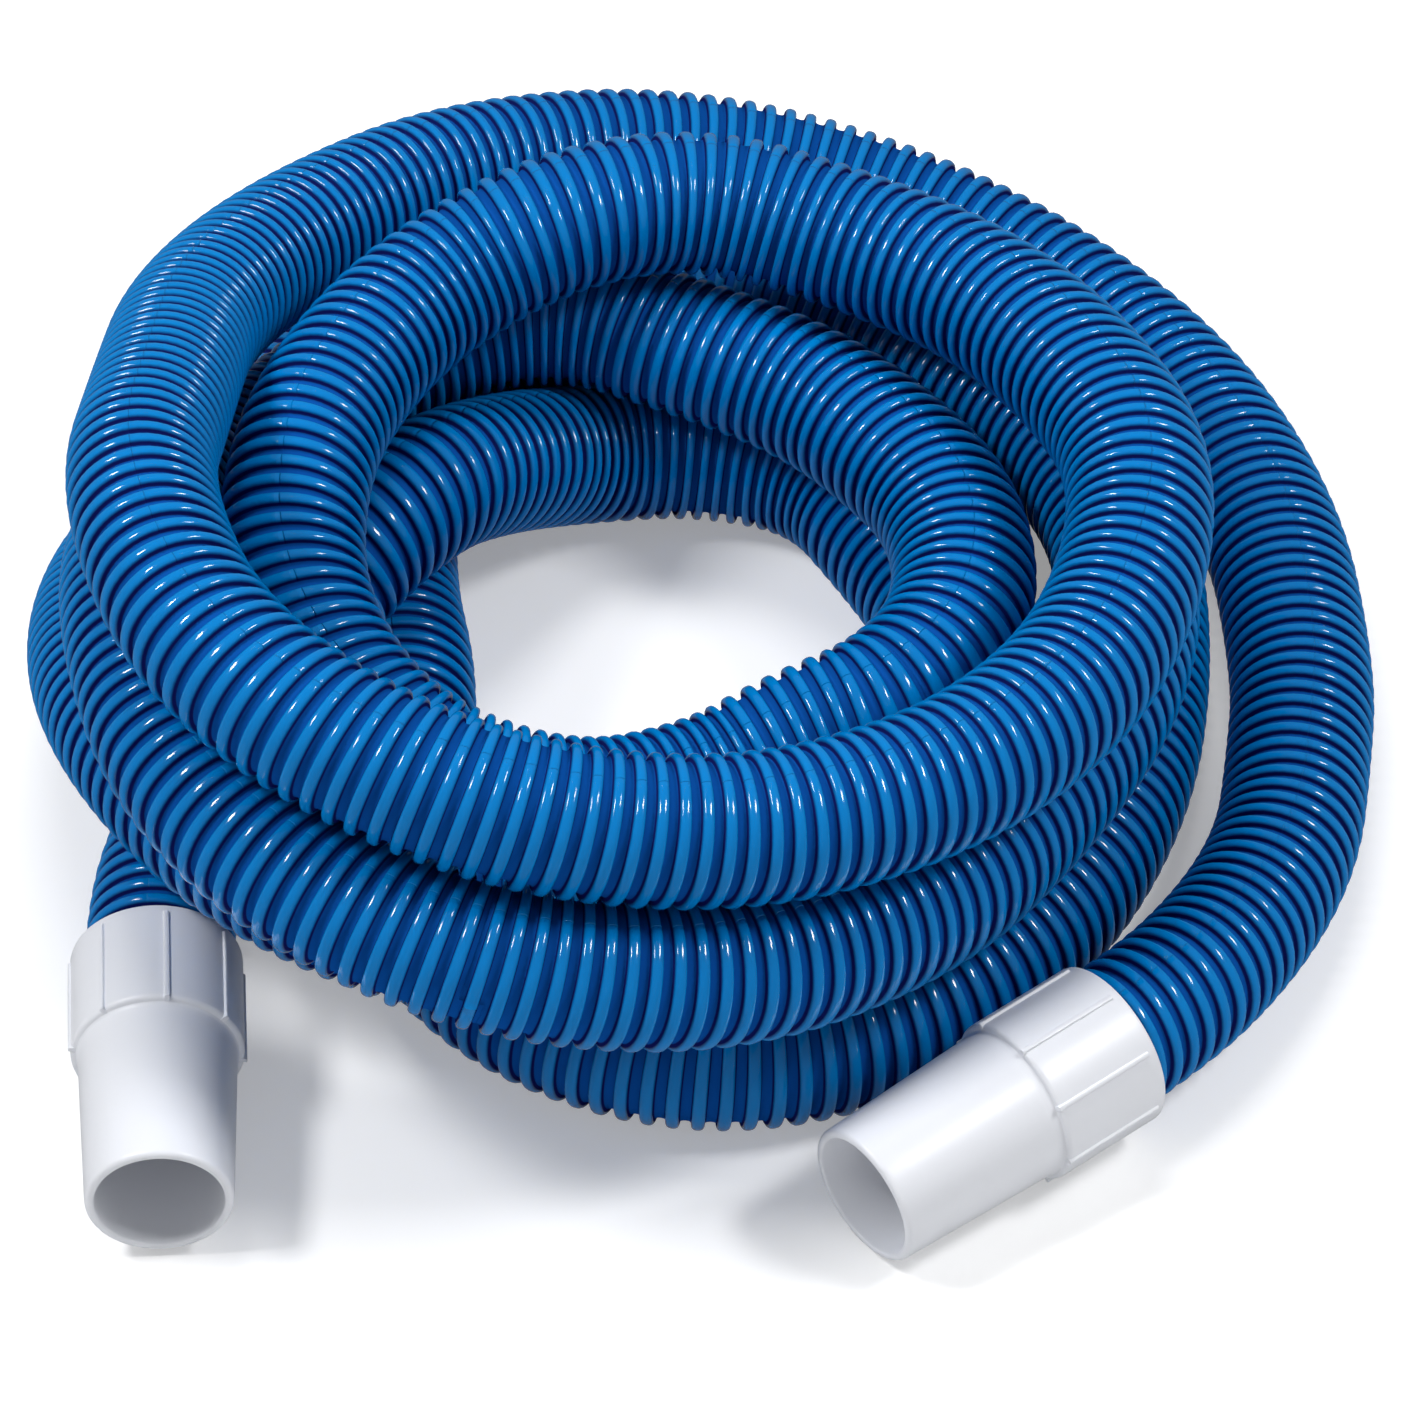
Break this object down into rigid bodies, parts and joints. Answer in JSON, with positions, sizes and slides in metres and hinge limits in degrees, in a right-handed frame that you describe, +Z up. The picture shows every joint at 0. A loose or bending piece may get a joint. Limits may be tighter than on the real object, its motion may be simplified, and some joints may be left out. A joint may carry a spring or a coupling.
{
  "type": "pool vacuum hose",
  "caption": "Ribbed flexible pool vacuum hose lying in a loose coil, with a fixed cuff on one end and a swivel cuff on the other.",
  "frame": {"origin": "on the floor, under the middle of the bounding box of the whole coil with its cuffs", "axes": "+Z up from the floor, +Y to the back of the coil, along its longest side, +X to the right with the two cuffs' mouths at the front"},
  "size_m": [0.4181, 0.4753, 0.184],
  "materials": {
    "hose_blue": "glossy deep blue ribbed EVA",
    "cuff_white": "satin white moulded plastic",
    "sleeve_grey": "plain moulded plastic, out of sight"
  },
  "bodies": {
    "hose": {"hose_coil": "hose_blue", "hose_swivel_tail": "hose_blue", "hose_fixed_tail": "hose_blue", "fixed_cuff": "cuff_white", "swivel_sleeve": "sleeve_grey"},
    "swivel_cuff": {"swivel_cuff": "cuff_white"}
  },
  "joints": [
    {"name": "cuff_swivel", "type": "hinge", "parent": "hose", "child": "swivel_cuff", "pos_m": [0.1198, -0.1632, 0.0283], "axis": [-0.7873, -0.6151, -0.0436], "continuous": true}
  ]
}
